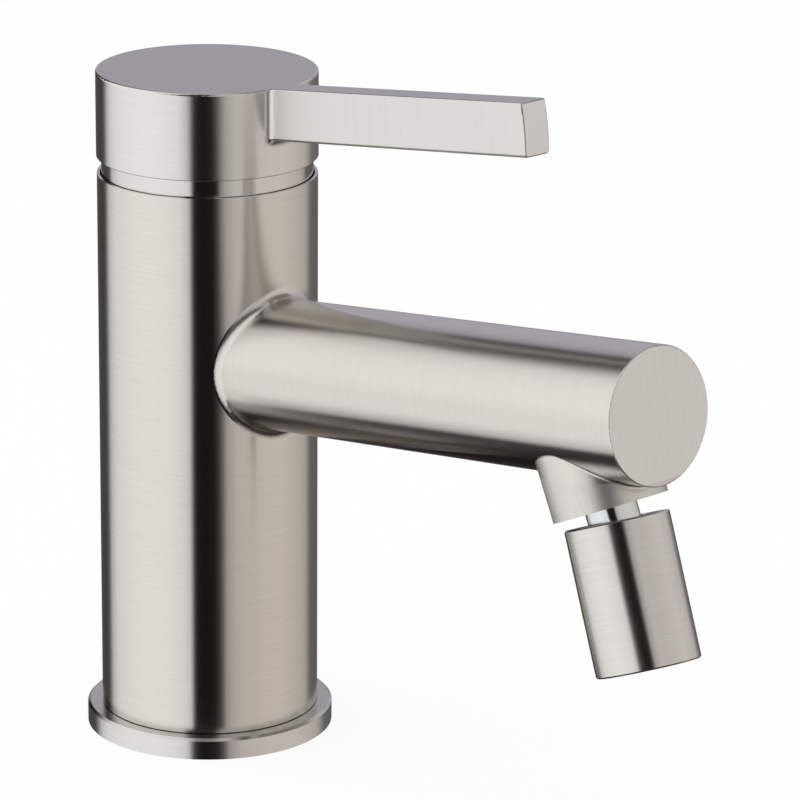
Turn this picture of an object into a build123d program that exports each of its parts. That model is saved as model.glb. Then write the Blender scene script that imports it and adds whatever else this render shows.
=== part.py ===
from build123d import *
from math import cos, radians, sin, sqrt, tan
import os

# Single-lever bidet mixer: an upright round body, a slim round spout, a ball-jointed aerator
# and a flat lever growing out of a round cap, over a ceramic-disc cartridge.
# Millimetres. +Z is up, z = 0 is the deck, the body's axis is Z, and spout and lever point to -Y.

os.makedirs("parts", exist_ok=True)

# Body, spout and boss, one brass casting
body_radius = 22.0
rim_height = 115.47
lip_wall = 0.6
mouth_depth = 2.57
spout_radius = 13.16
spout_rise = 7.0
spout_drop = 37.92
spout_length = 124.92
spout_wall = 3.0
spout_root_fillet = 2.2
boss_radius = 11.09
boss_lean = 24.645
boss_setback = 20.02
boss_reach = 19.68
boss_root_fillet = 0.6
edge_break = 0.3
overrun = 1.0

# Flange that the body stands in, with its sealing ring
flange_overhang = 3.0
flange_height = 4.35
flange_edge = 0.5
shadow_gap = 0.15
spigot_step = 1.0
spigot_gap = 0.1
ledge_height = 2.5
ledge_width = 2.0
gasket_width = 1.6
gasket_height = 1.5
gasket_inset = 1.4

# Connections underneath: two M10 x 1 hose threads and an M8 stud thread
inlet_spread = 8.0
inlet_forward = 4.5
inlet_thread_radius = 4.5
inlet_thread_depth = 15.0
inlet_bore_radius = 3.0
stud_back = 11.0
stud_thread_radius = 3.4
stud_thread_depth = 18.0

# Cartridge: its seat in the body and its outer size
seat_depth = 36.47
cartridge_radius = 17.5
chamber_gap = 0.25
nut_thread_step = 1.25
outlet_back = 7.0
outlet_radius = 3.4
channel_offset = 6.5

# Cartridge base with its port seals and locating pegs
base_plate_height = 2.5
base_plug_height = 2.5
disc_recess = 1.0
seal_section = 0.8
seal_land = 0.8
peg_spread = 12.8
peg_back = 5.0
peg_radius = 1.8
peg_length = 2.0
fit_gap = 0.1

# Ceramic discs and the carrier that moves the upper one
fixed_disc_radius = 12.9
fixed_disc_height = 4.5
port_radius = 1.9
port_spread = 4.6
port_forward = 4.2
port_back = 5.6
outlet_port_radius = 2.6
moving_disc_radius = 11.3
moving_disc_height = 3.5
mixing_depth = 1.9
mixing_radius = 3.6
mixing_back = 4.5
notch_width = 4.0
notch_depth = 1.6
notch_height = 1.6
carrier_radius = 12.0
carrier_half_width = 10.0
carrier_height = 5.0
carrier_floor = 1.0

# Lever stem, its hinge pin and the rotor that carries them
stem_lean = 12.5
stem_size = 7.0
stem_top_gap = 3.2
tip_radius = 2.2
arm_thickness = 3.4
stem_side_gap = 0.15
tip_lift = 3.55
lower_arm = 9.3
slot_gap = 0.3
running_gap = 0.05
pin_radius = 1.5
rotor_radius = 10.0
rotor_top_rise = 7.15
rotor_slot_length = 11.2
rotor_flange_radius = 14.0
rotor_flange_height = 2.3
carrier_top_gap = 0.2
guide_drop = 3.7
swing_half_angle = 50.0
stop_half_angle = 8.0
stop_play = 0.6

# Cartridge housing and the nut that clamps it
housing_wall = 2.2
housing_tube_wall = 1.95
housing_web = 3.5
shoulder_rise = 29.5
neck_radius = 12.5
neck_height = 3.0
neck_margin = 0.5
thread_margin = 4.5
nut_thread_height = 3.5
nut_hex_height = 3.0
nut_hex_across = 30.0
nut_gap = 0.1

# Cover ring between body and cap, with its O-ring
ring_gap = 0.3
ring_wall = 1.6
ring_groove_rise = 0.8
ring_groove_height = 1.4
ring_groove_depth = 0.95
ring_seal_section = 0.6
swing_gap = 0.16

# Handle: the cap and its lever, one casting
cap_overhang = 0.1
cap_gap = 3.5
cap_height = 17.48
cap_wall = 1.2
cap_top_wall = 2.2
cap_mouth_relief = 0.6
cap_edge = 0.55
crease_inset = 1.2
lever_width = 6.36
lever_height = 10.38
lever_rise = 7.79
lever_length = 92.1
lever_lower_edge = 0.8
lever_upper_edge = 0.3
lever_end_edge = 0.45
lever_root_fillet = 1.6
lever_crown = 0.3
socket_radius = 6.5
socket_margin = 0.4
index_height = 12.93
screw_radius = 2.0
screw_length = 10.0
screw_key = 2.0
screw_key_depth = 2.0
screw_boss_wall = 1.2
index_radius = 2.6
index_depth = 1.6

# Ball stem in the boss, with its O-ring
shank_radius = 6.0
shank_depth = 6.5
shank_groove_width = 1.6
shank_seal_section = 0.68
water_radius = 2.6
stem_neck_radius = 5.0
ball_below_boss = 7.97
ball_radius = 6.9
ball_flat = 5.1
ball_seal_section = 0.9
seal_play = 0.05

# Aerator on the ball
aerator_lean = 21.59
aerator_side_lean = 2.79
aerator_radius = 10.0
aerator_top = 5.4
aerator_bottom = 22.67
aerator_wall = 1.1
aerator_roof = 2.2
opening_radius = 6.8
lower_seat_height = 4.2
washer_height = 1.2
washer_radius = 6.3
insert_wall = 1.15
insert_lip = 1.1
insert_inset = 0.8
key_notch_count = 4
key_notch_width = 2.0
key_notch_depth = 1.2
screen_height = 0.4
screen_hole_count = 5
screen_hole_share = 0.62
comb_height = 3.0
comb_skirt_wall = 0.9
comb_inset = 0.5
cell_pitch = 2.0
cell_wall = 0.35
cell_count = 7


# Places worked out from the sizes above
flange_radius = body_radius + flange_overhang
body_bottom = flange_height + shadow_gap
spigot_radius = body_radius - spigot_step
mouth_radius = body_radius - lip_wall
mouth_floor = rim_height - mouth_depth
seat_height = rim_height - seat_depth
chamber_radius = cartridge_radius + chamber_gap
nut_bore_radius = chamber_radius + nut_thread_step
spout_height = rim_height - spout_drop

disc_height = seat_height + base_plate_height + base_plug_height - disc_recess
lapped_height = disc_height + fixed_disc_height
carrier_bottom = lapped_height + moving_disc_height
carrier_top = carrier_bottom + carrier_height
pivot_height = carrier_bottom + tip_lift + lower_arm
rotor_bottom = carrier_top + carrier_top_gap
rotor_top = pivot_height + rotor_top_rise
tube_bottom = rotor_bottom + rotor_flange_height + running_gap
shoulder_height = seat_height + shoulder_rise

cap_radius = body_radius + cap_overhang
cap_mouth_radius = cap_radius - cap_wall
cap_bottom = rim_height + cap_gap
cap_top = cap_bottom + cap_height
cap_ceiling = cap_top - cap_top_wall

# Everything of the cap stays outside a sphere round the pivot, and the ring below stays inside
cap_relief_top = cap_bottom + cap_mouth_relief
cap_sphere_radius = sqrt(cap_mouth_radius**2 + (cap_relief_top - pivot_height) ** 2)
ring_radius = mouth_radius - ring_gap
ring_top = pivot_height + sqrt((cap_sphere_radius - swing_gap) ** 2 - ring_radius**2)

stem_tilt = radians(stem_lean)
stem_length = (cap_ceiling - stem_top_gap - pivot_height) / cos(stem_tilt)
disc_offset = lower_arm * sin(stem_tilt)


def plane_along(origin, direction):
    """A plane facing along a direction, with its x axis kept level."""
    level = Vector(1, 0, 0)
    return Plane(origin=origin, x_dir=level - direction * direction.dot(level), z_dir=direction)


def section(plane):
    """The plane through another plane's axis: x is the radius, y the height along the axis."""
    return Plane(origin=plane.origin, x_dir=plane.x_dir, z_dir=-plane.y_dir)


def turned(plane, outline, mode=Mode.ADD):
    """Turn a closed outline of (radius, height) points about a plane's axis."""
    with BuildSketch(section(plane)) as profile:
        with BuildLine():
            Polyline(*outline, close=True)
        make_face()
    revolve(profile.sketch, axis=Axis(plane.origin, plane.z_dir), mode=mode)


def ring_section(inner, outer, low, high):
    """Outline of a plain ring, or of a disc when the inner radius is zero."""
    return [(inner, low), (outer, low), (outer, high), (inner, high)]


def finish(part, name):
    """Label a finished piece and write it."""
    part.label = name
    export_step(part, f"parts/{name}.step")


spout_direction = Vector(0, -cos(radians(spout_rise)), sin(radians(spout_rise)))
spout_plane = plane_along((0, 0, spout_height), spout_direction)
boss_direction = Vector(0, -sin(radians(boss_lean)), -cos(radians(boss_lean)))
boss_station = spout_plane.offset(spout_length - boss_setback)
boss_plane = plane_along(boss_station.origin, boss_direction)
ball_reach = boss_reach + ball_below_boss
aerator_direction = Vector(
    -sin(radians(aerator_side_lean)),
    -cos(radians(aerator_side_lean)) * sin(radians(aerator_lean)),
    -cos(radians(aerator_side_lean)) * cos(radians(aerator_lean)),
)
ball_centre = boss_plane.offset(ball_reach).origin
aerator_plane = plane_along(ball_centre, aerator_direction)
stem_direction = Vector(0, -sin(stem_tilt), cos(stem_tilt))
stem_plane = plane_along((0, 0, pivot_height), stem_direction)
lever_direction = Vector(0, -cos(radians(lever_rise)), sin(radians(lever_rise)))


# Body casting: upright body, spout and boss
bore_start = chamber_radius + nut_thread_step + spout_wall
bore_radius = spout_radius - spout_wall
channel_radius = outlet_radius
channel_start = -(outlet_back + outlet_radius) / cos(radians(spout_rise))
shank_bore_radius = shank_radius + running_gap
shank_bore_floor = boss_reach - shank_depth
with BuildPart() as body_casting:
    turned(
        Plane.XY,
        [
            (0, ledge_height),
            (spigot_radius, ledge_height),
            (spigot_radius, body_bottom),
            (body_radius, body_bottom),
            (body_radius, rim_height),
            (0, rim_height),
        ],
    )
    with BuildSketch(spout_plane):
        Circle(spout_radius)
    extrude(amount=spout_length)
    root = body_casting.edges().filter_by(
        lambda edge: edge.geom_type not in (GeomType.CIRCLE, GeomType.LINE)
    )
    fillet(root, spout_root_fillet)
    tip = body_casting.edges().filter_by(GeomType.CIRCLE).sort_by(Axis.Y)[0]
    fillet(tip, edge_break)
    before_boss = body_casting.edges()
    with BuildSketch(boss_plane):
        Circle(boss_radius)
    extrude(amount=boss_reach)
    boss_root = (body_casting.edges() - before_boss).filter_by(
        lambda edge: edge.geom_type not in (GeomType.CIRCLE, GeomType.LINE)
    )
    fillet(boss_root, boss_root_fillet)
    # Chamber for the cartridge, thread for its nut and the mouth for the cover ring
    turned(
        Plane.XY,
        [
            (0, seat_height),
            (chamber_radius, seat_height),
            (chamber_radius, shoulder_height - thread_margin),
            (nut_bore_radius, shoulder_height - thread_margin),
            (nut_bore_radius, mouth_floor),
            (mouth_radius, mouth_floor),
            (mouth_radius, rim_height + overrun),
            (0, rim_height + overrun),
        ],
        mode=Mode.SUBTRACT,
    )
    # Cored waterway of the spout, and the channel that leads from the outlet into it
    with BuildSketch(spout_plane.offset(bore_start)):
        Circle(bore_radius)
    extrude(amount=spout_length - spout_wall - bore_start, mode=Mode.SUBTRACT)
    with BuildSketch(spout_plane.offset(channel_start)):
        with Locations((0, -channel_offset)):
            Circle(channel_radius)
    extrude(amount=bore_start + overrun - channel_start, mode=Mode.SUBTRACT)
    outlet_depth = spout_drop + channel_offset - seat_depth + outlet_back * sin(radians(spout_rise))
    with BuildSketch(Plane.XY.offset(seat_height)):
        with Locations((0, outlet_back)):
            Circle(outlet_radius)
    extrude(amount=-outlet_depth, mode=Mode.SUBTRACT)
    # Holes for the cartridge's two pegs
    with BuildSketch(Plane.XY.offset(seat_height)):
        with Locations((-peg_spread, peg_back), (peg_spread, peg_back)):
            Circle(peg_radius + fit_gap)
    extrude(amount=-(peg_length + fit_gap), mode=Mode.SUBTRACT)
    # Hose threads, the stud thread and the two inlet passages
    with BuildSketch(Plane.XY.offset(ledge_height)):
        with Locations((-inlet_spread, -inlet_forward), (inlet_spread, -inlet_forward)):
            Circle(inlet_thread_radius)
    extrude(amount=inlet_thread_depth, mode=Mode.SUBTRACT)
    with BuildSketch(Plane.XY.offset(ledge_height)):
        with Locations((0, stud_back)):
            Circle(stud_thread_radius)
    extrude(amount=stud_thread_depth, mode=Mode.SUBTRACT)
    with BuildSketch(Plane.XY.offset(ledge_height)):
        with Locations((-inlet_spread, -inlet_forward), (inlet_spread, -inlet_forward)):
            Circle(inlet_bore_radius)
    extrude(amount=seat_height - ledge_height, mode=Mode.SUBTRACT)
    # Seat for the ball stem in the boss, and its water hole
    with BuildSketch(boss_plane.offset(boss_reach)):
        Circle(shank_bore_radius)
    extrude(amount=-shank_depth, mode=Mode.SUBTRACT)
    with BuildSketch(boss_plane.offset(boss_reach)):
        Circle(water_radius)
    extrude(amount=-boss_reach, mode=Mode.SUBTRACT)
finish(body_casting.part, "body_casting")


# Base flange: the body's spigot stands on its inner ledge
with BuildPart() as base_flange:
    turned(
        Plane.XY,
        [
            (spigot_radius - ledge_width, 0),
            (flange_radius, 0),
            (flange_radius, flange_height - flange_edge),
            (flange_radius - flange_edge, flange_height),
            (spigot_radius + spigot_gap, flange_height),
            (spigot_radius + spigot_gap, ledge_height),
            (spigot_radius - ledge_width, ledge_height),
        ],
    )
    gasket_outer = flange_radius - gasket_inset
    gasket_ring = ring_section(gasket_outer - gasket_width, gasket_outer, 0, gasket_height)
    turned(Plane.XY, gasket_ring, mode=Mode.SUBTRACT)
finish(base_flange.part, "base_flange")

# Sealing ring in the flange's underside
with BuildPart() as base_gasket:
    turned(Plane.XY, gasket_ring)
finish(base_gasket.part, "base_gasket")


# Cartridge base: three ports, a seal groove round each underneath, two pegs
ports = [
    ((-inlet_spread, -inlet_forward), inlet_bore_radius, (-port_spread, -port_forward), port_radius),
    ((inlet_spread, -inlet_forward), inlet_bore_radius, (port_spread, -port_forward), port_radius),
    ((0, outlet_back), outlet_radius, (0, port_back), outlet_port_radius),
]
base_radius = cartridge_radius - housing_wall
plate_top = seat_height + base_plate_height
with BuildPart() as cartridge_base:
    turned(Plane.XY, ring_section(0, cartridge_radius - fit_gap, seat_height, plate_top))
    turned(Plane.XY, ring_section(0, base_radius - fit_gap, plate_top, disc_height + disc_recess))
    recess = ring_section(0, fixed_disc_radius + fit_gap, disc_height, disc_height + overrun)
    turned(Plane.XY, recess, mode=Mode.SUBTRACT)
    with BuildSketch(Plane.XY.offset(seat_height)):
        with Locations((-peg_spread, peg_back), (peg_spread, peg_back)):
            Circle(peg_radius)
    extrude(amount=-peg_length)
    for low_place, low_radius, high_place, high_radius in ports:
        with BuildSketch(Plane.XY.offset(seat_height)):
            with Locations(low_place):
                Circle(low_radius + seal_land + 2 * seal_section + fit_gap)
                Circle(low_radius + seal_land - fit_gap, mode=Mode.SUBTRACT)
        extrude(amount=2 * seal_section, mode=Mode.SUBTRACT)
        with BuildSketch(Plane.XY.offset(seat_height)):
            with Locations(low_place):
                Circle(low_radius)
        extrude(amount=base_plate_height, mode=Mode.SUBTRACT)
        with BuildSketch(Plane.XY.offset(plate_top)):
            with Locations(low_place, high_place):
                Circle(high_radius)
            make_hull()
        extrude(amount=disc_height - plate_top, mode=Mode.SUBTRACT)
finish(cartridge_base.part, "cartridge_base")

# Three port seals under the base, one group
with BuildPart() as base_seals:
    for low_place, low_radius, high_place, high_radius in ports:
        with Locations((low_place[0], low_place[1], seat_height + seal_section)):
            Torus(low_radius + seal_land + seal_section, seal_section)
finish(base_seals.part, "base_seals")

# Lower ceramic disc, held still by the base: two inlet ports and an outlet port
with BuildPart() as fixed_ceramic_disc:
    with BuildSketch(Plane.XY.offset(disc_height)):
        Circle(fixed_disc_radius)
        for low_place, low_radius, high_place, high_radius in ports:
            with Locations(high_place):
                Circle(high_radius, mode=Mode.SUBTRACT)
    extrude(amount=fixed_disc_height)
finish(fixed_ceramic_disc.part, "fixed_ceramic_disc")

# Upper ceramic disc, pushed to and fro by the carrier: a mixing pocket underneath
disc_centre = (0, disc_offset)
with BuildPart() as moving_ceramic_disc:
    with BuildSketch(Plane.XY.offset(lapped_height)):
        with Locations(disc_centre):
            Circle(moving_disc_radius)
    extrude(amount=moving_disc_height)
    with BuildSketch(Plane.XY.offset(lapped_height)):
        with Locations((0, 0), (0, disc_offset + mixing_back)):
            Circle(mixing_radius)
        make_hull()
    extrude(amount=mixing_depth, mode=Mode.SUBTRACT)
    with BuildSketch(Plane.XY.offset(carrier_bottom)):
        with Locations((-moving_disc_radius, disc_offset), (moving_disc_radius, disc_offset)):
            Rectangle(2 * notch_depth, notch_width)
    extrude(amount=-notch_height, mode=Mode.SUBTRACT)
finish(moving_ceramic_disc.part, "moving_ceramic_disc")

# Carrier: slides between the rotor's guides, holds the upper disc by two lugs
with BuildPart() as disc_carrier:
    with BuildSketch(Plane.XY.offset(carrier_bottom)):
        with Locations(disc_centre):
            Circle(carrier_radius)
            Rectangle(2 * carrier_half_width, 2 * carrier_radius, mode=Mode.INTERSECT)
    extrude(amount=carrier_height)
    with BuildSketch(Plane.XY.offset(carrier_bottom)):
        with Locations(disc_centre):
            Rectangle(2 * (moving_disc_radius - fit_gap), notch_width - 2 * fit_gap)
            Rectangle(
                2 * (moving_disc_radius - notch_depth + fit_gap),
                notch_width,
                mode=Mode.SUBTRACT,
            )
    extrude(amount=-(notch_height - fit_gap))
    with BuildSketch(Plane.XY.offset(carrier_bottom + carrier_floor)):
        with Locations(disc_centre):
            Rectangle(stem_size + 2 * slot_gap, 2 * (tip_radius + slot_gap))
    extrude(amount=carrier_height, mode=Mode.SUBTRACT)
finish(disc_carrier.part, "disc_carrier")


# Rotor: turns in the housing's neck, carries the hinge pin, guides the carrier
guide_inner = carrier_half_width + fit_gap
tube_radius = rotor_radius + running_gap + housing_tube_wall
with BuildPart() as cartridge_rotor:
    turned(
        Plane.XY,
        [
            (0, rotor_bottom),
            (rotor_flange_radius, rotor_bottom),
            (rotor_flange_radius, rotor_bottom + rotor_flange_height),
            (rotor_radius, rotor_bottom + rotor_flange_height),
            (rotor_radius, rotor_top),
            (0, rotor_top),
        ],
    )
    # Two guides hang down beside the carrier
    with BuildSketch(Plane.XY.offset(rotor_bottom)):
        Circle(rotor_flange_radius)
        Rectangle(2 * guide_inner, 2 * rotor_flange_radius, mode=Mode.SUBTRACT)
    extrude(amount=-guide_drop)
    # Window round the housing's stop, wide enough for the swing each way
    with BuildSketch(Plane.XY.offset(rotor_bottom - guide_drop)):
        Circle(rotor_flange_radius + overrun)
        Circle(tube_radius - fit_gap, mode=Mode.SUBTRACT)
        with BuildLine():
            window_reach = 2 * rotor_flange_radius
            window_half = radians(swing_half_angle + stop_half_angle + stop_play)
            Polyline(
                (0, 0),
                (-window_reach * sin(window_half), window_reach * cos(window_half)),
                (0, 2 * window_reach),
                (window_reach * sin(window_half), window_reach * cos(window_half)),
                close=True,
            )
        make_face(mode=Mode.INTERSECT)
    extrude(amount=guide_drop + rotor_flange_height, mode=Mode.SUBTRACT)
    with BuildSketch(Plane.XY.offset(rotor_bottom)):
        Rectangle(stem_size + 2 * stem_side_gap, rotor_slot_length)
    extrude(amount=rotor_top - rotor_bottom, mode=Mode.SUBTRACT)
    with BuildSketch(Plane.YZ):
        with Locations((0, pivot_height)):
            Circle(pin_radius)
    extrude(amount=rotor_radius, both=True, mode=Mode.SUBTRACT)
finish(cartridge_rotor.part, "cartridge_rotor")

# Hinge pin of the lever stem, pressed into the rotor
pin_half_length = sqrt(rotor_radius**2 - pin_radius**2) - running_gap
with BuildPart() as hinge_pin:
    with BuildSketch(Plane.YZ):
        with Locations((0, pivot_height)):
            Circle(pin_radius)
    extrude(amount=pin_half_length, both=True)
finish(hinge_pin.part, "hinge_pin")

# Lever stem: a square tang above the pin and a round-tipped arm below it
stem_section = Plane(origin=stem_plane.origin, x_dir=stem_plane.y_dir, z_dir=Vector(1, 0, 0))
with BuildPart() as cartridge_stem:
    with BuildSketch(stem_section):
        with Locations((0, stem_length / 2)):
            Rectangle(stem_size, stem_length)
        Circle(stem_size / 2)
        with Locations((0, -lower_arm / 2)):
            Rectangle(arm_thickness, lower_arm)
        with Locations((0, -lower_arm)):
            Circle(tip_radius)
        Circle(pin_radius + running_gap, mode=Mode.SUBTRACT)
    extrude(amount=stem_size / 2, both=True)
    top_edges = cartridge_stem.faces().sort_by(Axis(stem_plane.origin, stem_direction))[-1].edges()
    chamfer(top_edges, edge_break)
finish(cartridge_stem.part, "cartridge_stem")


# Cartridge housing: moulded shell with an inner tube for the rotor, open below
with BuildPart() as cartridge_housing:
    turned(
        Plane.XY,
        [
            (base_radius, plate_top),
            (cartridge_radius, plate_top),
            (cartridge_radius, shoulder_height),
            (neck_radius, shoulder_height),
            (neck_radius, shoulder_height + neck_height),
            (rotor_radius + running_gap, shoulder_height + neck_height),
            (rotor_radius + running_gap, tube_bottom),
            (tube_radius, tube_bottom),
            (tube_radius, shoulder_height - housing_web),
            (base_radius, shoulder_height - housing_web),
        ],
    )
    # Stop rib that the rotor's window runs against
    with BuildSketch(Plane.XY.offset(rotor_bottom + running_gap)):
        with BuildLine():
            stop_reach = base_radius / cos(radians(stop_half_angle))
            Polyline(
                (0, 0),
                (-stop_reach * sin(radians(stop_half_angle)), base_radius),
                (stop_reach * sin(radians(stop_half_angle)), base_radius),
                close=True,
            )
        make_face()
        Circle(tube_radius + running_gap, mode=Mode.SUBTRACT)
    extrude(amount=shoulder_height - housing_web - rotor_bottom - running_gap)
finish(cartridge_housing.part, "cartridge_housing")

# Clamp nut: threaded below, hexagon above
nut_radius = nut_bore_radius - nut_gap
with BuildPart() as clamp_nut:
    with BuildSketch(Plane.XY.offset(shoulder_height)):
        Circle(nut_radius)
        Circle(neck_radius + neck_margin, mode=Mode.SUBTRACT)
    extrude(amount=nut_thread_height)
    with BuildSketch(Plane.XY.offset(shoulder_height + nut_thread_height)):
        RegularPolygon(nut_hex_across / 2, 6, major_radius=False)
        Circle(neck_radius + neck_margin, mode=Mode.SUBTRACT)
    extrude(amount=nut_hex_height)
finish(clamp_nut.part, "clamp_nut")

# Cover ring: the bright step between body and cap
groove_low = mouth_floor + ring_groove_rise
with BuildPart() as cover_ring:
    turned(
        Plane.XY,
        [
            (ring_radius - ring_wall, mouth_floor),
            (ring_radius, mouth_floor),
            (ring_radius, groove_low),
            (ring_radius - ring_groove_depth, groove_low),
            (ring_radius - ring_groove_depth, groove_low + ring_groove_height),
            (ring_radius, groove_low + ring_groove_height),
            (ring_radius, ring_top),
            (ring_radius - ring_wall, ring_top),
        ],
    )
finish(cover_ring.part, "cover_ring")

# O-ring that holds the cover ring in the body's mouth
with BuildPart() as cover_o_ring:
    with Locations((0, 0, groove_low + ring_groove_height / 2)):
        Torus(mouth_radius - running_gap - ring_seal_section, ring_seal_section)
finish(cover_o_ring.part, "cover_o_ring")


# Handle: hollow cap with the lever, the stem's socket and the grub screw's boss
lever_start = (cap_radius - cap_wall / 2) / cos(radians(lever_rise))
lever_slant = lever_height / 2 * tan(radians(lever_rise))
crease = cap_radius - crease_inset
lever_origin = Vector(
    0, 0, cap_top - crease * tan(radians(lever_rise)) - lever_height / 2 / cos(radians(lever_rise))
)
lever_plane = plane_along(lever_origin, lever_direction)
lever_section = Plane(origin=lever_origin, x_dir=lever_direction, z_dir=Vector(-1, 0, 0))
screw_station = (
    cap_bottom + index_height - pivot_height - cap_radius * tan(stem_tilt)
) * cos(stem_tilt)
screw_origin = stem_plane.offset(screw_station).origin
screw_direction = Vector(0, cos(stem_tilt), sin(stem_tilt))
screw_plane = plane_along(screw_origin, screw_direction)
index_reach = (cap_radius + screw_station * sin(stem_tilt)) / cos(stem_tilt)
screw_bore = screw_radius + running_gap
socket_floor = screw_station - screw_bore - screw_boss_wall - socket_margin

# Lever bar: a slightly crowned end, softer edges below than above
with BuildPart() as lever_bar:
    with BuildSketch(lever_section):
        with BuildLine():
            Polyline(
                (lever_length, -lever_height / 2),
                (lever_start - lever_slant, -lever_height / 2),
                (lever_start + lever_slant, lever_height / 2),
                (lever_length, lever_height / 2),
            )
            ThreePointArc(
                (lever_length, lever_height / 2),
                (lever_length + lever_crown, 0),
                (lever_length, -lever_height / 2),
            )
        make_face()
    extrude(amount=lever_width / 2, both=True)
    underside = lever_bar.faces().sort_by(Axis(lever_origin, lever_plane.y_dir))[0]
    lower_edges = underside.edges().filter_by(Axis(lever_origin, lever_direction))
    fillet(lower_edges, lever_lower_edge)
    upper_face = lever_bar.faces().sort_by(Axis(lever_origin, lever_plane.y_dir))[-1]
    upper_edges = upper_face.edges().filter_by(Axis(lever_origin, lever_direction))
    fillet(upper_edges, lever_upper_edge)
    end_face = lever_bar.faces().sort_by(Axis(lever_origin, lever_direction))[-1]
    fillet(end_face.edges(), lever_end_edge)

# Hollow of the cap, round the socket for the stem and the boss for the screw
with BuildPart() as cap_hollow:
    turned(
        Plane.XY,
        [
            (0, cap_bottom - overrun),
            (cap_mouth_radius + cap_mouth_relief + overrun, cap_bottom - overrun),
            (cap_mouth_radius, cap_relief_top),
            (cap_mouth_radius, cap_ceiling),
            (0, cap_ceiling),
        ],
    )
    with BuildSketch(stem_plane.offset(socket_floor)):
        Circle(socket_radius)
    extrude(amount=cap_height, mode=Mode.SUBTRACT)
    with BuildSketch(screw_plane):
        Circle(screw_bore + screw_boss_wall)
    extrude(amount=index_reach, mode=Mode.SUBTRACT)

with BuildPart() as handle:
    turned(Plane.XY, ring_section(0, cap_radius, cap_bottom, cap_top))
    fillet(handle.edges().group_by(Axis.Z)[-1], cap_edge)
    chamfer(handle.edges().group_by(Axis.Z)[0], edge_break / 2)
    before_lever = handle.edges()
    add(lever_bar.part)
    lever_root = (handle.edges() - before_lever).filter_by(
        lambda edge: abs(sqrt(edge.center().X ** 2 + edge.center().Y ** 2) - cap_radius) < cap_edge
        and edge.center().Z < cap_top - 2 * cap_edge
    )
    fillet(lever_root, lever_root_fillet)
    add(cap_hollow.part, mode=Mode.SUBTRACT)
    with BuildSketch(stem_plane.offset(socket_floor)):
        Rectangle(stem_size + 2 * running_gap, stem_size + 2 * running_gap)
    extrude(amount=stem_length + running_gap - socket_floor, mode=Mode.SUBTRACT)
    with BuildSketch(screw_plane):
        Circle(screw_bore)
    extrude(amount=index_reach, mode=Mode.SUBTRACT)
    with BuildSketch(screw_plane.offset(index_reach - index_depth)):
        Circle(index_radius + running_gap)
    extrude(amount=index_depth + overrun, mode=Mode.SUBTRACT)
finish(handle.part, "handle")

# Grub screw against the back of the stem, with its hexagon socket
with BuildPart() as grub_screw:
    with BuildSketch(screw_plane.offset(stem_size / 2)):
        Circle(screw_radius)
    extrude(amount=screw_length)
    chamfer(grub_screw.edges().filter_by(GeomType.CIRCLE), edge_break)
    with BuildSketch(screw_plane.offset(stem_size / 2 + screw_length)):
        RegularPolygon(screw_key / 2, 6, major_radius=False)
    extrude(amount=-screw_key_depth, mode=Mode.SUBTRACT)
finish(grub_screw.part, "grub_screw")

# Index plug that closes the screw's hole, flush with the cap
with BuildPart() as index_plug:
    with BuildSketch(screw_plane.offset(index_reach - index_depth)):
        Circle(index_radius)
    extrude(amount=index_depth + overrun)
    with BuildSketch(Plane.XY.offset(cap_bottom)):
        Circle(cap_radius)
    extrude(amount=cap_height, mode=Mode.INTERSECT)
finish(index_plug.part, "index_plug")


# Ball stem: shank in the boss, neck, and the ball that the aerator swivels on
ball_seal_radius = ball_radius - ball_seal_section
ball_groove_floor = ball_seal_radius - ball_seal_section - seal_play
shank_groove_floor = shank_bore_radius - 2 * shank_seal_section - seal_play
shank_groove_middle = boss_reach - shank_depth / 2
flat_radius = sqrt(ball_radius**2 - ball_flat**2)
neck_meets_ball = ball_reach - sqrt(ball_radius**2 - stem_neck_radius**2)
with BuildPart() as ball_stem:
    with BuildSketch(section(boss_plane)):
        with BuildLine():
            Polyline(
                (stem_neck_radius, neck_meets_ball),
                (stem_neck_radius, boss_reach),
                (shank_radius, boss_reach),
                (shank_radius, boss_reach - shank_depth),
                (0, boss_reach - shank_depth),
                (0, ball_reach + ball_flat),
                (flat_radius, ball_reach + ball_flat),
            )
            ThreePointArc(
                (flat_radius, ball_reach + ball_flat),
                (ball_radius, ball_reach),
                (stem_neck_radius, neck_meets_ball),
            )
        make_face()
    revolve(axis=Axis(boss_plane.origin, boss_direction))
    groove = ring_section(
        ball_groove_floor,
        ball_radius + overrun,
        ball_reach - ball_seal_section - seal_play,
        ball_reach + ball_seal_section + seal_play,
    )
    turned(boss_plane, groove, mode=Mode.SUBTRACT)
    shank_groove = ring_section(
        shank_groove_floor,
        shank_radius + overrun,
        shank_groove_middle - shank_groove_width / 2,
        shank_groove_middle + shank_groove_width / 2,
    )
    turned(boss_plane, shank_groove, mode=Mode.SUBTRACT)
    bore = ring_section(0, water_radius, 0, ball_reach + ball_radius)
    turned(boss_plane, bore, mode=Mode.SUBTRACT)
finish(ball_stem.part, "ball_stem")

# O-ring that seals the shank in the boss
with BuildPart() as stem_o_ring:
    with Locations(boss_plane.offset(shank_groove_middle)):
        Torus(shank_bore_radius - shank_seal_section, shank_seal_section)
finish(stem_o_ring.part, "stem_o_ring")

# O-ring round the ball: it turns with the aerator
with BuildPart() as ball_o_ring:
    with Locations(boss_plane.offset(ball_reach)):
        Torus(ball_seal_radius, ball_seal_section)
finish(ball_o_ring.part, "ball_o_ring")


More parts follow.
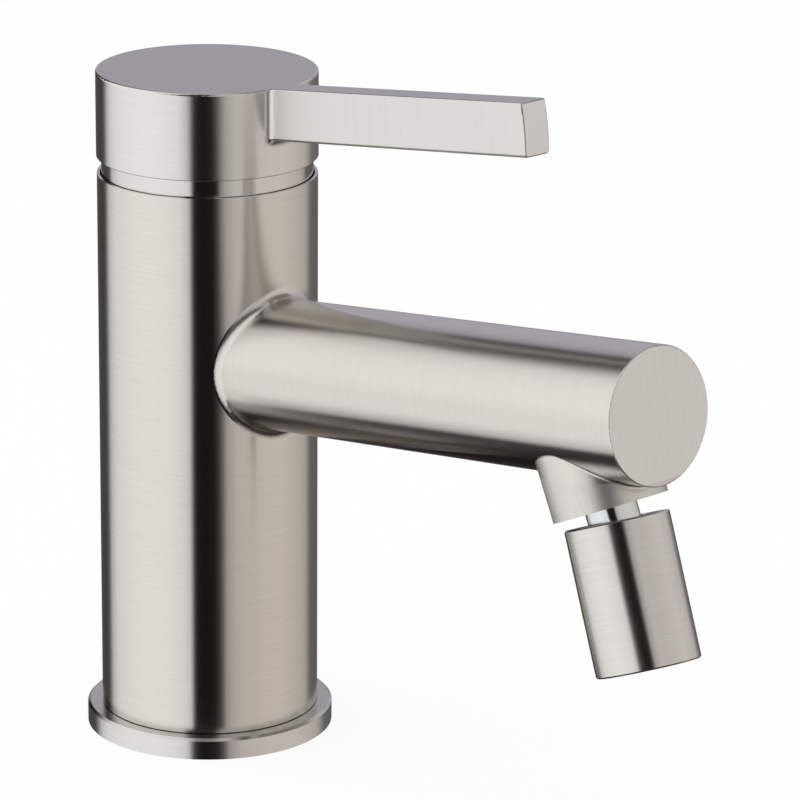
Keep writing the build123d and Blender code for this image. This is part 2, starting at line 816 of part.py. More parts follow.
# Aerator housing: a plain tube with a roof that holds the ball seats in
aerator_bore_radius = aerator_radius - aerator_wall
seat_top = -(aerator_top - aerator_roof)
seat_radius = aerator_bore_radius - running_gap
seat_sphere = ball_radius + running_gap
with BuildPart() as aerator_housing:
    turned(
        aerator_plane,
        [
            (opening_radius, -aerator_top),
            (aerator_radius - edge_break, -aerator_top),
            (aerator_radius, -aerator_top + edge_break),
            (aerator_radius, aerator_bottom - edge_break),
            (aerator_radius - edge_break, aerator_bottom),
            (aerator_bore_radius, aerator_bottom),
            (aerator_bore_radius, seat_top),
            (opening_radius, seat_top),
        ],
    )
finish(aerator_housing.part, "aerator_housing")


def cupped_ring(height):
    """A ball seat: a ring from the ball's equator to a height, hollowed by the ball's sphere."""
    mouth = sqrt(seat_sphere**2 - height**2)
    middle = sqrt(seat_sphere**2 - (height / 2) ** 2)
    with BuildSketch(section(aerator_plane)) as profile:
        with BuildLine():
            Polyline((seat_sphere, 0), (seat_radius, 0), (seat_radius, height), (mouth, height))
            ThreePointArc((mouth, height), (middle, height / 2), (seat_sphere, 0))
        make_face()
    revolve(profile.sketch, axis=Axis(ball_centre, aerator_direction))


# Upper ball seat, held by the roof
with BuildPart() as ball_seat:
    cupped_ring(seat_top)
finish(ball_seat.part, "ball_seat")

# Lower ball seat, pushed up by the washer
with BuildPart() as lower_ball_seat:
    cupped_ring(lower_seat_height)
finish(lower_ball_seat.part, "lower_ball_seat")

# Rubber washer between the lower seat and the insert's shell
washer_bottom = lower_seat_height + washer_height
with BuildPart() as aerator_washer:
    turned(
        aerator_plane, ring_section(washer_radius, seat_radius, lower_seat_height, washer_bottom)
    )
finish(aerator_washer.part, "aerator_washer")

# Threaded shell that screws into the housing from below, with key notches
shell_bottom = aerator_bottom - insert_inset
shell_inner = seat_radius - insert_wall
with BuildPart() as aerator_shell:
    turned(
        aerator_plane,
        [
            (washer_radius, washer_bottom),
            (seat_radius, washer_bottom),
            (seat_radius, shell_bottom),
            (shell_inner, shell_bottom),
            (shell_inner, washer_bottom + insert_lip),
            (washer_radius, washer_bottom + insert_lip),
        ],
    )
    with BuildSketch(aerator_plane.offset(shell_bottom)):
        with PolarLocations(seat_radius, key_notch_count):
            Rectangle(3 * insert_wall, key_notch_width)
    extrude(amount=-key_notch_depth, mode=Mode.SUBTRACT)
finish(aerator_shell.part, "aerator_shell")

# Fine screen that rests under the shell's lip
screen_top = washer_bottom + insert_lip
screen_radius = shell_inner - running_gap
screen_pitch = 2 * (screen_radius - comb_skirt_wall) * sqrt(1 / 2) / screen_hole_count
screen_hole = screen_pitch * screen_hole_share
with BuildPart() as aerator_screen:
    with BuildSketch(aerator_plane.offset(screen_top)):
        Circle(screen_radius)
        with GridLocations(screen_pitch, screen_pitch, screen_hole_count, screen_hole_count):
            Rectangle(screen_hole, screen_hole, mode=Mode.SUBTRACT)
    extrude(amount=screen_height)
finish(aerator_screen.part, "aerator_screen")

# Insert: a skirt below the screen that ends in a honeycomb
skirt_top = screen_top + screen_height
comb_bottom = shell_bottom - comb_inset
comb_radius = screen_radius - comb_skirt_wall
cell_limit = comb_radius - cell_pitch / 2
cell_grid = HexLocations(cell_pitch / 2, cell_count, cell_count)
cell_spots = [
    spot.position for spot in cell_grid.local_locations if spot.position.length < cell_limit
]
with BuildPart() as aerator_insert:
    turned(aerator_plane, ring_section(comb_radius, screen_radius, skirt_top, comb_bottom))
    with BuildSketch(aerator_plane.offset(comb_bottom)):
        Circle(comb_radius)
        with Locations(*cell_spots):
            RegularPolygon((cell_pitch - cell_wall) / 2, 6, major_radius=False, mode=Mode.SUBTRACT)
    extrude(amount=-comb_height)
finish(aerator_insert.part, "aerator_insert")
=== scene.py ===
# %% [markdown]
# # A single-lever bidet mixer in satin brushed nickel
#
# The mixer itself comes from CAD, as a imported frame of 28 named nodes. This lesson dresses that
# frame: it gives each surface the finish of the real one, builds the studio that the finish
# needs, and places the camera. A brushed metal has hardly any colour of its own. What the eye
# reads as brushed nickel is the studio, mirrored and smeared by thousands of fine scratches, so
# the finish and the studio are worked out together here.

from math import cos, pi, radians, sin, tau

import bpy
from mathutils import Matrix, Vector

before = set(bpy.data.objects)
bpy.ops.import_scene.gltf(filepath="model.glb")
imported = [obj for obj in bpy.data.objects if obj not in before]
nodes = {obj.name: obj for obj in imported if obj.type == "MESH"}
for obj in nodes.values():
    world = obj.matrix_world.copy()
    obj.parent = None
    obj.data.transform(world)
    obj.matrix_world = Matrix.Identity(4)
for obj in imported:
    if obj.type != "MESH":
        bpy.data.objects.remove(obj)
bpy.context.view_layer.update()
MM = 0.001

# %% [markdown]
# ## A few small helpers
#
# Colours are written as sRGB hex, the way a paint chart or a picture editor gives them. Blender
# shades in linear light, so one function turns hex to linear. The next one adds a shader node,
# sets its options and fills its inputs: a value is set on the socket, and another node's output
# is linked to it. The rest are short names for the nodes that the materials below use most.

# %% Colour and node helpers
MIX_SOCKETS = {"FLOAT": (2, 3, 0), "VECTOR": (4, 5, 1), "RGBA": (6, 7, 2)}


def linear(hex_colour):
    """An sRGB hex colour such as "#c0c0c0", as the linear RGBA that Blender's sockets hold."""
    shares = [int(hex_colour[i:i + 2], 16) / 255 for i in (1, 3, 5)]
    return [s / 12.92 if s <= 0.04045 else ((s + 0.055) / 1.055) ** 2.4 for s in shares] + [1.0]


def add(tree, kind, inputs=None, **settings):
    """Add a shader node with its settings, and set or link each of its inputs."""
    made = tree.nodes.new(kind)
    for name, value in settings.items():
        setattr(made, name, value)
    for name, value in (inputs or {}).items():
        if isinstance(value, bpy.types.NodeSocket):
            tree.links.new(value, made.inputs[name])
        else:
            made.inputs[name].default_value = value
    return made


def number(tree, operation, first, second):
    """The result of one calculation with two numbers."""
    return add(tree, "ShaderNodeMath", {0: first, 1: second}, operation=operation).outputs[0]


def vector(tree, operation, first, second):
    """The result of one calculation with two vectors, where that is a vector too."""
    return add(tree, "ShaderNodeVectorMath", {0: first, 1: second},
               operation=operation).outputs["Vector"]


def station(tree, place, axis):
    """How far along an axis through the origin a point is."""
    dot = add(tree, "ShaderNodeVectorMath", {0: place, 1: axis}, operation="DOT_PRODUCT")
    return dot.outputs["Value"]


def mix(tree, kind, share, first, second, **settings):
    """The first value where the share is 0, and the second where it is 1.

    The kind is FLOAT, VECTOR or RGBA: a mix node keeps a set of sockets for each."""
    low, high, result = MIX_SOCKETS[kind]
    made = add(tree, "ShaderNodeMix", {"Factor": share, low: first, high: second},
               data_type=kind, **settings)
    return made.outputs[result]


def new_material(name):
    """A material whose node tree is still empty."""
    material = bpy.data.materials.new(name)
    material.use_nodes = True
    material.node_tree.nodes.clear()
    return material, material.node_tree


print("white is", [round(share, 3) for share in linear("#ffffff")])

# %% [markdown]
# ## Which way each surface was brushed
#
# The castings are plated with nickel and then brushed with an abrasive belt, so the finish is a
# set of fine parallel scratches. On a round form the part is spun against the belt, and the
# scratches run round its axis. A scratch spreads light across itself and hardly along itself:
# that is why the body shows long upright stripes with crisp sides.
#
# The body casting has two round forms, the body and the spout. Its boss and the spout's flat end
# are brushed from top to bottom, which is round the axis that points sideways. The handle has a
# round side, a flat top and a flat bar. One material serves each casting, and it finds by
# position or by normal which form it is on. The directions below are the CAD part's own angles.

# %% Axes of the forms
SPOUT_RISE = radians(7.0)
AERATOR_LEAN = radians(21.59)
AERATOR_SIDE_LEAN = radians(2.79)
LEVER_RISE = radians(7.79)
BODY_RADIUS = 22.0 * MM
CAP_RADIUS = 22.1 * MM
CAP_TOP = 136.45 * MM
SPOUT_HEIGHT = 77.55 * MM
SPOUT_LENGTH = 124.92 * MM

upright = Vector((0, 0, 1))
sideways = Vector((1, 0, 0))
spout_axis = Vector((0, -cos(SPOUT_RISE), sin(SPOUT_RISE)))
aerator_axis = Vector((
    -sin(AERATOR_SIDE_LEAN),
    -cos(AERATOR_SIDE_LEAN) * sin(AERATOR_LEAN),
    -cos(AERATOR_SIDE_LEAN) * cos(AERATOR_LEAN),
))
lever_axis = Vector((0, -cos(LEVER_RISE), sin(LEVER_RISE)))
print("spout axis", [round(v, 3) for v in spout_axis])

# %% [markdown]
# ## Finding the form
#
# Each function below is a mask: 1 on its form and 0 elsewhere. The margins move a mask's edge
# off the surfaces that lie right at it, so that each of them falls wholly on one side.
# BOSS_DEPTH is less than the spout's radius, so the boss's mask takes in a strip of the spout's
# underside too. Besides the scratches' direction and roughness, each mask also places painted
# light: the light tint that makes its form lighter or darker.

# %% Masks
SIDE_MARGIN = 0.05 * MM
TOP_MARGIN = 0.02 * MM
END_MARGIN = 0.2 * MM
BOSS_DEPTH = 12.0 * MM
FRONT_COSINE = 0.9
TOP_COSINE = 0.95


def near_upright(tree, place, radius):
    """1 inside an upright cylinder of that radius round the mixer's own axis."""
    flat = vector(tree, "MULTIPLY", place, (1, 1, 0))
    reach = add(tree, "ShaderNodeVectorMath", {0: flat}, operation="LENGTH")
    return number(tree, "LESS_THAN", reach.outputs["Value"], radius)


def on_body(tree, place):
    """The round body, below the cap."""
    return near_upright(tree, place, BODY_RADIUS + SIDE_MARGIN)


def on_cap_side(tree, place):
    """The cap without its flat top, which is brushed straight like the lever."""
    below_top = number(tree, "LESS_THAN", station(tree, place, upright), CAP_TOP - TOP_MARGIN)
    round_cap = near_upright(tree, place, CAP_RADIUS + SIDE_MARGIN)
    return number(tree, "MULTIPLY", round_cap, below_top)


def on_boss(tree, place):
    """The boss, which hangs more than BOSS_DEPTH below the spout's axis."""
    from_axis = vector(tree, "ADD", place, (0, 0, -SPOUT_HEIGHT))
    rise = station(tree, from_axis, spout_axis.cross(sideways))
    return number(tree, "LESS_THAN", rise, -BOSS_DEPTH)


# Through the light tint, this mask also paints the spout's flat end lighter: painted light.
def on_spout_end(tree, place):
    """The flat end of the spout."""
    end = spout_axis.z * SPOUT_HEIGHT + SPOUT_LENGTH
    return number(tree, "GREATER_THAN", station(tree, place, spout_axis), end - END_MARGIN)


def facing(tree, axis, cosine):
    """1 where the surface's normal is near that axis, within the angle of that cosine."""
    normal = add(tree, "ShaderNodeTexCoord").outputs["Normal"]
    return number(tree, "GREATER_THAN", station(tree, normal, axis), cosine)


# Through the light tint, this mask also paints the lever's end lighter: painted light.
def on_front(tree, place):
    """What faces the user, such as the lever's end. It goes by the normal, not the place."""
    return facing(tree, Vector((0, -1, 0)), FRONT_COSINE)


# Through the light tint, this mask also paints the flat tops of handle and flange darker: painted
# shade.
def on_top(tree, place):
    """What faces up. It goes by the normal, not the place."""
    return facing(tree, upright, TOP_COSINE)


# %% [markdown]
# ## Brushed nickel
#
# Satin nickel is a warm, light grey metal. The scratches of a fine belt are about 0.05 mm wide,
# too fine to show at this size, where a pixel covers 0.2 mm: they are drawn 0.22 mm wide and
# 9 mm long, with little height. Their light-spreading work is done by the shader's anisotropy,
# whose tangent is the axis that the scratches run round, so it lies across them.
#
# The streaks come from a noise texture whose coordinate is squeezed along the form's axis. For
# scratches round an axis a, the coordinate is p * slow + a * (p . a) * (fast - slow): it changes
# fast along a, and slowly round it.

# %% Brushed nickel
STREAK_WIDTH = 0.22 * MM
STREAK_LENGTH = 9.0 * MM
NOISE_MIDDLE = 0.5
STREAK_REACH = 0.3  # how far the noise strays from its middle for a full tone, at marks = 1
SCRATCH_STRENGTH = 0.12
SCRATCH_DEPTH = 0.02 * MM
CLOUD_SIZE = 14 * MM
CLOUD_ROUGHNESS = 0.015  # how far the roughness wanders from a form's own
NICKEL = "#e7e5e0"
NICKEL_WORN = "#d9d6d1"
NEUTRAL_NICKEL = {"light": "#e6e5e2", "worn": "#d9d7d5"}


def across(tree, place, axis):
    """The streak coordinate for scratches that run round an axis."""
    fast, slow = 1 / STREAK_WIDTH, 1 / STREAK_LENGTH
    stretch = add(tree, "ShaderNodeVectorMath",
                  {0: axis * (fast - slow), "Scale": station(tree, place, axis)},
                  operation="SCALE")
    even = add(tree, "ShaderNodeVectorMath", {0: place, "Scale": slow}, operation="SCALE")
    return vector(tree, "ADD", even.outputs[0], stretch.outputs[0])


def brushed_nickel(name, forms, marks, spread=0.85, light=NICKEL, worn=NICKEL_WORN):
    """Brushed nickel whose scratches run round each form's axis.

    A form is (mask, axis, light_tint, roughness). The first has no mask, and each next one lies
    over it. The light tint multiplies the colour: it is painted light, a gain that makes each
    form lighter or darker as the studio's light falls on it. marks says how strongly the
    scratches show, and spread how much more they smear a reflection across themselves than along."""
    material, tree = new_material(name)
    place = add(tree, "ShaderNodeTexCoord").outputs["Object"]
    # The light tint is painted light: a colour gain that stands in for how brightly the studio
    # lights each form.
    _, tangent, light_tint, coarse = forms[0]
    streak = across(tree, place, tangent)
    for mask, axis, form_light_tint, form_roughness in forms[1:]:
        share = mask(tree, place)
        tangent = mix(tree, "VECTOR", share, tangent, axis)
        streak = mix(tree, "VECTOR", share, streak, across(tree, place, axis))
        light_tint = mix(tree, "VECTOR", share, light_tint, form_light_tint)
        coarse = mix(tree, "FLOAT", share, coarse, form_roughness)
    fine = add(tree, "ShaderNodeTexNoise", {"Vector": streak, "Scale": 1.0, "Detail": 2.0,
                                            "Roughness": 0.65})
    strong = add(tree, "ShaderNodeMapRange", {"Value": fine.outputs["Fac"],
                                              "From Min": NOISE_MIDDLE - STREAK_REACH / marks,
                                              "From Max": NOISE_MIDDLE + STREAK_REACH / marks},
                 clamp=False)
    tone = mix(tree, "RGBA", strong.outputs["Result"], linear(worn), linear(light),
               clamp_factor=False)
    broad = add(tree, "ShaderNodeTexNoise", {"Vector": place, "Scale": 1 / CLOUD_SIZE,
                                             "Detail": 2.0})
    wander = add(tree, "ShaderNodeMapRange", {"Value": broad.outputs["Fac"],
                                              "To Min": -CLOUD_ROUGHNESS,
                                              "To Max": CLOUD_ROUGHNESS})
    scratches = add(tree, "ShaderNodeBump", {"Height": fine.outputs["Fac"],
                                             "Strength": SCRATCH_STRENGTH * marks,
                                             "Distance": SCRATCH_DEPTH})
    turned = add(tree, "ShaderNodeVectorTransform", {"Vector": tangent}, vector_type="VECTOR",
                 convert_from="OBJECT", convert_to="WORLD")
    metal = add(tree, "ShaderNodeBsdfPrincipled", {
        "Base Color": vector(tree, "MULTIPLY", tone, light_tint), "Metallic": 1.0,
        "Roughness": number(tree, "ADD", wander.outputs["Result"], coarse),
        "Anisotropic": spread, "Normal": scratches.outputs["Normal"],
        "Tangent": turned.outputs["Vector"],
    })
    add(tree, "ShaderNodeOutputMaterial", {"Surface": metal.outputs[0]})
    return material


# The third entry of each form is painted light: the spout's flat end and the lever's front are
# made lighter, the flat tops of handle and flange darker, and the handle, aerator, ring and
# flange a little lighter than the casting, as the studio's light falls on them.
casting_nickel = brushed_nickel("brushed_nickel_casting", [
    (None, spout_axis, (1.0, 1.0, 1.0), 0.205),
    (on_spout_end, sideways, (1.17, 1.18, 1.22), 0.27),
    (on_boss, sideways, (1.02, 1.02, 1.03), 0.26),
    (on_body, upright, (1.0, 1.0, 1.0), 0.2),
], marks=0.48, spread=0.9)
handle_nickel = brushed_nickel("brushed_nickel_handle", [
    (None, lever_axis, (1.08, 1.08, 1.08), 0.25),
    (on_front, sideways, (1.18, 1.2, 1.24), 0.27),
    (on_cap_side, upright, (1.07, 1.07, 1.08), 0.235),
    (on_top, lever_axis, (0.92, 0.93, 0.92), 0.25),
], marks=0.5, spread=0.88, **NEUTRAL_NICKEL)
aerator_nickel = brushed_nickel("brushed_nickel_aerator", [
    (None, aerator_axis, (1.01, 1.02, 1.03), 0.22),
], marks=0.65, spread=0.88)
ring_nickel = brushed_nickel("fine_turned_nickel_ring", [
    (None, upright, (1.02, 1.02, 1.02), 0.14),
], marks=0.35, spread=0.6, **NEUTRAL_NICKEL)
flange_nickel = brushed_nickel("brushed_nickel_flange", [
    (None, upright, (1.03, 1.04, 1.05), 0.22),
    (on_top, upright, (0.87, 0.88, 0.86), 0.22),
], marks=0.6, spread=0.8, **NEUTRAL_NICKEL)
print("nickel finishes:", [m.name for m in bpy.data.materials if "nickel" in m.name])

# %% [markdown]
# ## The other finishes
#
# The neck between boss and aerator is brass with a polished chrome plating: no scratches, a
# bluer white, and reflections with hard edges. Inside are bare turned brass, stainless steel,
# nitrile rubber, lapped alumina and two moulded plastics. Most of these show only when the
# mixer is taken apart or looked at from below, but each gets the grain of its own making.

# %% A helper for plain finishes with a fine grain
GRAIN_STRENGTH = 0.3


def grained(name, light, dark, grain, roughness, metallic=0.0, height=0.01, **inputs):
    """A finish whose colour and roughness wander between two ends over a fine grain.

    The grain's size is in metres, and the height of its relief in millimetres."""
    material, tree = new_material(name)
    place = add(tree, "ShaderNodeTexCoord").outputs["Object"]
    specks = add(tree, "ShaderNodeTexNoise",
                 {"Vector": place, "Scale": 1 / grain, "Detail": 4.0}).outputs["Fac"]
    low, high = roughness
    dull = add(tree, "ShaderNodeMapRange", {"Value": specks, "To Min": low, "To Max": high})
    relief = add(tree, "ShaderNodeBump", {"Height": specks, "Strength": GRAIN_STRENGTH,
                                          "Distance": height * MM})
    shader = add(tree, "ShaderNodeBsdfPrincipled", {
        "Base Color": mix(tree, "RGBA", specks, linear(dark), linear(light)),
        "Metallic": metallic, "Roughness": dull.outputs["Result"],
        "Normal": relief.outputs["Normal"], **inputs,
    })
    add(tree, "ShaderNodeOutputMaterial", {"Surface": shader.outputs[0]})
    return material


# %% Chrome, brass, steel, rubber, ceramic and plastics
chrome = grained("polished_chrome", "#e9ebef", "#e2e5ea", 6 * MM, (0.11, 0.15), 1.0, 0.002)
brass = grained("turned_brass", "#e3c68a", "#d6b572", 1.2 * MM, (0.24, 0.34), 1.0, 0.01)
steel = grained("stainless_steel", "#cfd0d0", "#c2c3c4", 0.8 * MM, (0.26, 0.36), 1.0, 0.01)
rubber = grained("nitrile_rubber", "#232323", "#191919", 0.35 * MM, (0.62, 0.78), 0.0, 0.02)
ceramic = grained("alumina_ceramic", "#f0ede4", "#e9e5da", 0.2 * MM, (0.16, 0.24), 0.0, 0.003,
                  IOR=1.77)
cartridge_plastic = grained("glass_filled_polyamide", "#8f9296", "#84878b", 0.5 * MM,
                            (0.44, 0.56), 0.0, 0.015, IOR=1.53)
acetal = grained("moulded_acetal", "#e6e8ea", "#dee1e4", 0.6 * MM, (0.34, 0.44), 0.0, 0.008,
                 IOR=1.48)

# %% [markdown]
# The index plug is one small disc of gloss plastic, moulded in two colours: red on the hot side
# and blue on the cold side. The side is read from x in the part's own frame.

# %% Red and blue index plug
def index_plastic():
    """Gloss plastic, red for hot on the user's left and blue for cold on the right."""
    material, tree = new_material("index_plastic")
    place = add(tree, "ShaderNodeTexCoord").outputs["Object"]
    cold = number(tree, "GREATER_THAN", station(tree, place, sideways), 0.0)
    tone = mix(tree, "RGBA", cold, linear("#b3262d"), linear("#1f4fa0"))
    shader = add(tree, "ShaderNodeBsdfPrincipled", {"Base Color": tone, "Roughness": 0.18,
                                                    "Coat Weight": 0.3})
    add(tree, "ShaderNodeOutputMaterial", {"Surface": shader.outputs[0]})
    return material


index_finish = index_plastic()
print("finishes so far:", len(bpy.data.materials))

# %% [markdown]
# ## Dressing the CAD nodes
#
# Each CAD node arrives with a plain material named after its slot in the record. The slot says
# what the piece is made of, so the finish follows from it. Only the nickel pieces need a choice
# by node, because their scratches run round different axes.

# %% Give every node its finish
finish_of_slot = {
    "brushed_nickel": ring_nickel, "polished_chrome": chrome, "turned_brass": brass,
    "stainless_steel": steel, "black_rubber": rubber, "alumina_ceramic": ceramic,
    "cartridge_plastic": cartridge_plastic, "aerator_plastic": acetal,
    "index_plastic": index_finish,
}
finish_of_node = {
    "body_casting": casting_nickel, "handle": handle_nickel,
    "aerator_housing": aerator_nickel, "base_flange": flange_nickel,
}
for name, piece in nodes.items():
    for slot in piece.material_slots:
        plain = slot.material.name.split(".")[0]
        slot.material = finish_of_node.get(name, finish_of_slot.get(plain, ring_nickel))
        print(f"{name:22s} {plain:18s} -> {slot.material.name}")

# %% [markdown]
# ## The camera
#
# The camera was worked out from the photograph's outlines in the CAD part's own frame: the
# ellipses of flange, body and cap, and the edges of spout, lever and aerator. It stands about a
# metre away to the front left, looks down a little, and is rolled by less than half a degree.

# %% Camera
CAMERA_PLACE = Vector((-0.6156, -0.6966, 0.35166))
CAMERA_LOOK = Vector((0.6626, 0.6898, -0.2919)).normalized()
CAMERA_ROLL = radians(0.42)
SENSOR_WIDTH = 36.0
FOCAL_LENGTH = 216.69

level_right = CAMERA_LOOK.cross(upright).normalized()
level_up = level_right.cross(CAMERA_LOOK)
right = level_right * cos(CAMERA_ROLL) + level_up * sin(CAMERA_ROLL)
up = level_up * cos(CAMERA_ROLL) - level_right * sin(CAMERA_ROLL)

lens = bpy.data.cameras.new("camera")
lens.sensor_width = SENSOR_WIDTH
lens.lens = FOCAL_LENGTH
camera = bpy.data.objects.new("camera", lens)
bpy.context.scene.collection.objects.link(camera)
turn = Matrix((right, up, -CAMERA_LOOK)).transposed().to_4x4()
camera.matrix_world = Matrix.Translation(CAMERA_PLACE) @ turn
bpy.context.scene.camera = camera
print(f"camera {CAMERA_PLACE.length:.2f} m away, {lens.lens:.0f} mm lens")

# %% [markdown]
# ## Floor and backdrop
#
# The photograph's ground is plain white. One large dish stands in for it: a flat floor that
# curves up into a wall, far behind anything the camera needs. The camera sees it mostly as even
# white light, with a share of white paper in it that receives the mixer's soft shadow. The metal
# doesn't mirror it, because the painted studio below says what the metal mirrors.

# %% White cyclorama
FLOOR_RADIUS = 4.0
CURVE_RADIUS = 1.0
WALL_HEIGHT = 6.0
CURVE_STEPS = 12
ROUND_STEPS = 96
GLOW_SHARE = 0.9


def cyclorama():
    """A round white floor that curves up into a wall, as one mesh."""
    profile = [(0.0, 0.0), (FLOOR_RADIUS, 0.0)]
    for step in range(1, CURVE_STEPS + 1):
        bend = step / CURVE_STEPS * pi / 2
        profile.append((FLOOR_RADIUS + CURVE_RADIUS * sin(bend), CURVE_RADIUS * (1 - cos(bend))))
    profile.append((FLOOR_RADIUS + CURVE_RADIUS, WALL_HEIGHT))
    points, faces = [], []
    for reach, height in profile:
        for turn_step in range(ROUND_STEPS):
            angle = turn_step / ROUND_STEPS * tau
            points.append((reach * cos(angle), reach * sin(angle), height))
    for ring in range(len(profile) - 1):
        for turn_step in range(ROUND_STEPS):
            a = ring * ROUND_STEPS + turn_step
            b = ring * ROUND_STEPS + (turn_step + 1) % ROUND_STEPS
            faces.append((a, b, b + ROUND_STEPS, a + ROUND_STEPS))
    mesh = bpy.data.meshes.new("cyclorama")
    mesh.from_pydata(points, [], faces)
    mesh.shade_smooth()
    return bpy.data.objects.new("cyclorama", mesh)


floor = cyclorama()
bpy.context.scene.collection.objects.link(floor)
white_paper, tree = new_material("white_paper")
paper = add(tree, "ShaderNodeBsdfDiffuse", {"Color": linear("#fdfdfd")})
glow = add(tree, "ShaderNodeEmission", {"Color": linear("#ffffff"), "Strength": 1.0})
seen = add(tree, "ShaderNodeLightPath").outputs["Is Camera Ray"]
lit = add(tree, "ShaderNodeMixShader", {0: number(tree, "MULTIPLY", seen, GLOW_SHARE),
                                        1: paper.outputs[0], 2: glow.outputs[0]})
add(tree, "ShaderNodeOutputMaterial", {"Surface": lit.outputs[0]})
floor.data.materials.append(white_paper)
floor.visible_glossy = False
print("floor and wall:", len(floor.data.polygons), "faces")

# %% [markdown]
# ## The studio
#
# The metal mirrors what stands round it, so the studio is painted by direction on the world: a
# broad white softbox to the camera's left, a black flag at the camera that gives the near-black
# upright stripe, a warm grey card on the right, and dark corners behind. Angles are counted
# round the mixer from the camera's direction, positive to the camera's right.
#
# The camera looks down a little, so an upright wall mirrors what lies as far below the horizon:
# the level tones, or the cap's a little higher up. Round undersides mirror the under and low
# tones, and surfaces that lean back, such as the spout's upper side, the raised and high ones.
# That makes six rings of tones, one above the other, and a grey ceiling for the flat tops. Each
# ring blends into the next between two heights, where a height is the z of a direction.

# %% World: softboxes and cards by direction
toward = Vector((-CAMERA_LOOK.x, -CAMERA_LOOK.y, 0)).normalized()
camera_side = Vector((level_right.x, level_right.y, 0)).normalized()

WARM = (1.0, 0.895, 0.825)
SAND = (1.0, 0.945, 0.9)
PLAIN = (1.0, 0.96, 0.95)
NEUTRAL = (1.0, 0.99, 0.98)
BROWN = (1.0, 0.8, 0.7)
COOL = (0.95, 0.92, 1.04)
CEILING = [0.5, 0.49, 0.49, 1.0]
low_tones = [
    (-180, 0.01, BROWN), (-104, 0.01, BROWN), (-92, 0.2, NEUTRAL),
    (-60, 0.15, NEUTRAL), (-30, 0.1, WARM), (-16, 0.01, WARM), (13, 0.01, WARM),
    (17, 0.05, BROWN), (112, 0.05, BROWN), (138, 0.02, BROWN), (180, 0.01, BROWN),
]
under_tones = [
    (-180, 0.02, BROWN), (-114, 0.02, BROWN), (-107, 0.62, NEUTRAL), (-95, 0.9, NEUTRAL),
    (-42, 0.95, NEUTRAL), (-20, 0.8, NEUTRAL), (-16, 0.01, WARM), (17, 0.01, WARM),
    (20, 0.12, WARM), (60, 0.18, WARM), (112, 0.35, WARM), (138, 0.08, BROWN), (180, 0.02, BROWN),
]
level_tones = [
    (-180, 0.1, PLAIN), (-142, 0.06, PLAIN), (-131, 0.08, PLAIN), (-123, 0.64, NEUTRAL),
    (-109, 0.88, NEUTRAL), (-85, 0.97, NEUTRAL), (-65, 1.01, NEUTRAL), (-42, 0.99, NEUTRAL),
    (-30, 0.94, NEUTRAL), (-18, 0.87, NEUTRAL), (-14, 0.01, WARM), (17.5, 0.01, WARM),
    (20, 0.42, WARM), (32, 0.62, WARM), (60, 0.7, WARM), (88, 0.69, WARM),
    (112, 0.58, WARM), (126, 0.5, WARM), (138, 0.14, PLAIN), (180, 0.1, PLAIN),
]
cap_tones = [
    (-180, 0.1, PLAIN), (-142, 0.06, PLAIN), (-131, 0.08, PLAIN), (-123, 0.66, NEUTRAL),
    (-109, 0.88, NEUTRAL), (-85, 0.97, NEUTRAL), (-65, 1.01, NEUTRAL), (-42, 0.99, NEUTRAL),
    (-30, 0.95, NEUTRAL), (-17, 0.88, NEUTRAL), (-13, 0.01, WARM), (13, 0.01, WARM),
    (16, 0.42, SAND), (32, 0.63, SAND), (60, 0.7, SAND), (88, 0.69, SAND),
    (112, 0.58, SAND), (126, 0.5, SAND), (138, 0.14, PLAIN), (180, 0.1, PLAIN),
]
raised_tones = [
    (-180, 0.51, COOL), (-170, 0.51, COOL), (-160, 0.4, COOL), (-152, 0.02, BROWN),
    (-130, 0.02, BROWN), (-123, 0.47, NEUTRAL), (-115, 0.93, NEUTRAL), (-96, 1.04, NEUTRAL),
    (-60, 1.02, NEUTRAL), (-38, 0.92, NEUTRAL), (-25, 0.82, NEUTRAL), (-21, 0.01, WARM),
    (9, 0.01, WARM), (12.5, 0.44, SAND), (28, 0.64, SAND), (60, 0.7, SAND),
    (92, 0.71, SAND), (120, 0.63, SAND), (150, 0.47, COOL), (180, 0.51, COOL),
]
high_tones = [
    (-180, 0.51, COOL), (-170, 0.51, COOL), (-160, 0.4, COOL), (-152, 0.02, BROWN),
    (-130, 0.02, BROWN), (-123, 0.47, NEUTRAL), (-115, 0.93, NEUTRAL), (-96, 1.0, NEUTRAL),
    (-38, 0.9, NEUTRAL), (-25, 0.82, NEUTRAL), (-21, 0.01, WARM), (9, 0.01, WARM),
    (12.5, 0.42, SAND), (28, 0.55, SAND), (60, 0.22, WARM), (120, 0.2, WARM),
    (150, 0.42, COOL), (180, 0.51, COOL),
]
rings_above = [
    (-0.74, -0.69, under_tones), (-0.62, -0.5, level_tones), (-0.295, -0.24, cap_tones),
    (-0.22, 0.04, raised_tones), (0.46, 0.56, high_tones),
]
CEILING_FROM, CEILING_FULL = 0.9, 0.97


def tone_ring(tree, angle_share, tones):
    """A colour ramp that gives the studio's tone all the way round, at one height.

    A tone is (angle in degrees, level, tint), and the tones are in the order of their angles."""
    ramp = add(tree, "ShaderNodeValToRGB", {"Fac": angle_share})
    stops = ramp.color_ramp.elements
    while len(stops) < len(tones):
        stops.new(1.0)
    for stop, (angle, _, _) in zip(stops, tones):
        stop.position = angle / 360 + 0.5
    for stop, (_, level, light_tint) in zip(stops, tones):
        stop.color = [level * share for share in light_tint] + [1.0]
    return ramp.outputs["Color"]


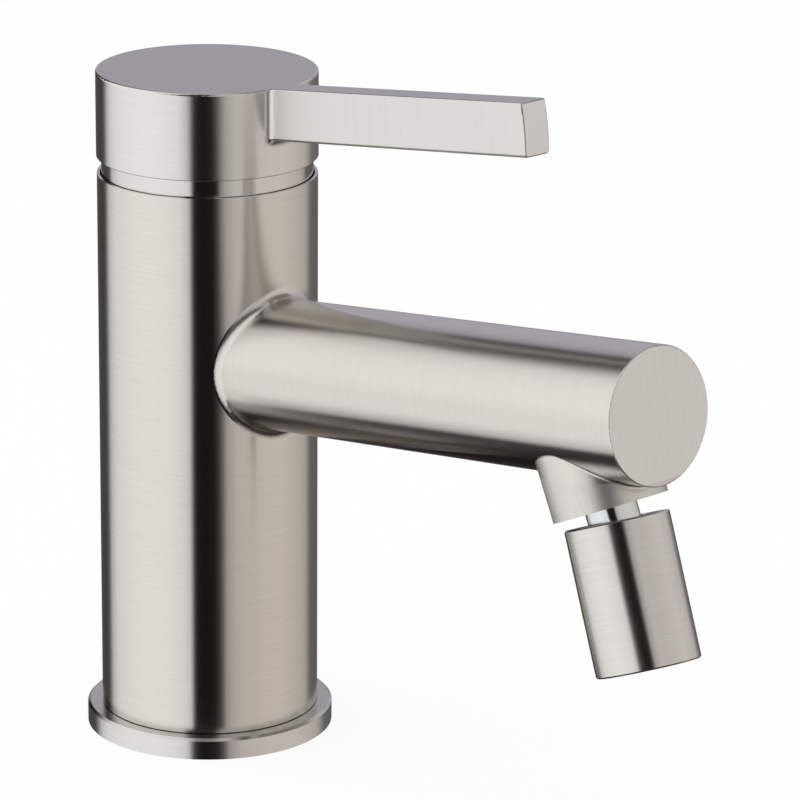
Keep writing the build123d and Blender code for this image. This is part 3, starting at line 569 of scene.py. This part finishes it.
def rise_share(tree, height, low, high):
    """0 below the low height of a direction and 1 above the high one, smooth between."""
    made = add(tree, "ShaderNodeMapRange", {"Value": height, "From Min": low, "From Max": high},
               interpolation_type="SMOOTHSTEP")
    return made.outputs["Result"]


world = bpy.data.worlds.new("studio")
bpy.context.scene.world = world
world.use_nodes = True
tree = world.node_tree
tree.nodes.clear()
way = add(tree, "ShaderNodeTexCoord").outputs["Generated"]
angle = number(tree, "ARCTAN2", station(tree, way, camera_side), station(tree, way, toward))
angle_share = add(tree, "ShaderNodeMapRange", {"Value": angle, "From Min": -pi,
                                               "From Max": pi}).outputs["Result"]
height = add(tree, "ShaderNodeSeparateXYZ", {"Vector": way}).outputs["Z"]
studio = tone_ring(tree, angle_share, low_tones)
for low, high, tones in rings_above:
    studio = mix(tree, "RGBA", rise_share(tree, height, low, high), studio,
                 tone_ring(tree, angle_share, tones))
studio = mix(tree, "RGBA", rise_share(tree, height, CEILING_FROM, CEILING_FULL), studio, CEILING)
light = add(tree, "ShaderNodeBackground", {"Color": studio, "Strength": 1.0})
add(tree, "ShaderNodeOutputWorld", {"Surface": light.outputs[0]})
print("studio rings of tones:", 1 + len(rings_above))

# %% [markdown]
# ## One soft lamp
#
# The painted studio alone would leave the floor grey. A large soft lamp overhead brings the
# floor up to white and gives the mixer its faint contact shadow.

# %% Overhead soft lamp
LAMP_SIZE = 2.4
LAMP_POWER = 36.0
LAMP_PLACE = Vector((-0.3, 0.2, 2.2))

lamp = bpy.data.lights.new("overhead_softbox", "AREA")
lamp.shape = "DISK"
lamp.size = LAMP_SIZE
lamp.energy = LAMP_POWER
overhead = bpy.data.objects.new("overhead_softbox", lamp)
overhead.location = LAMP_PLACE
overhead.rotation_euler = (-LAMP_PLACE).to_track_quat("-Z", "Y").to_euler()
overhead.visible_glossy = False
bpy.context.scene.collection.objects.link(overhead)
print("overhead lamp:", lamp.energy, "W")

# %% [markdown]
# ## Last lines
#
# The view transform is Standard, so a colour comes out as it is written.

# %% Finish
bpy.context.scene.view_settings.view_transform = "Standard"
bpy.context.view_layer.update()
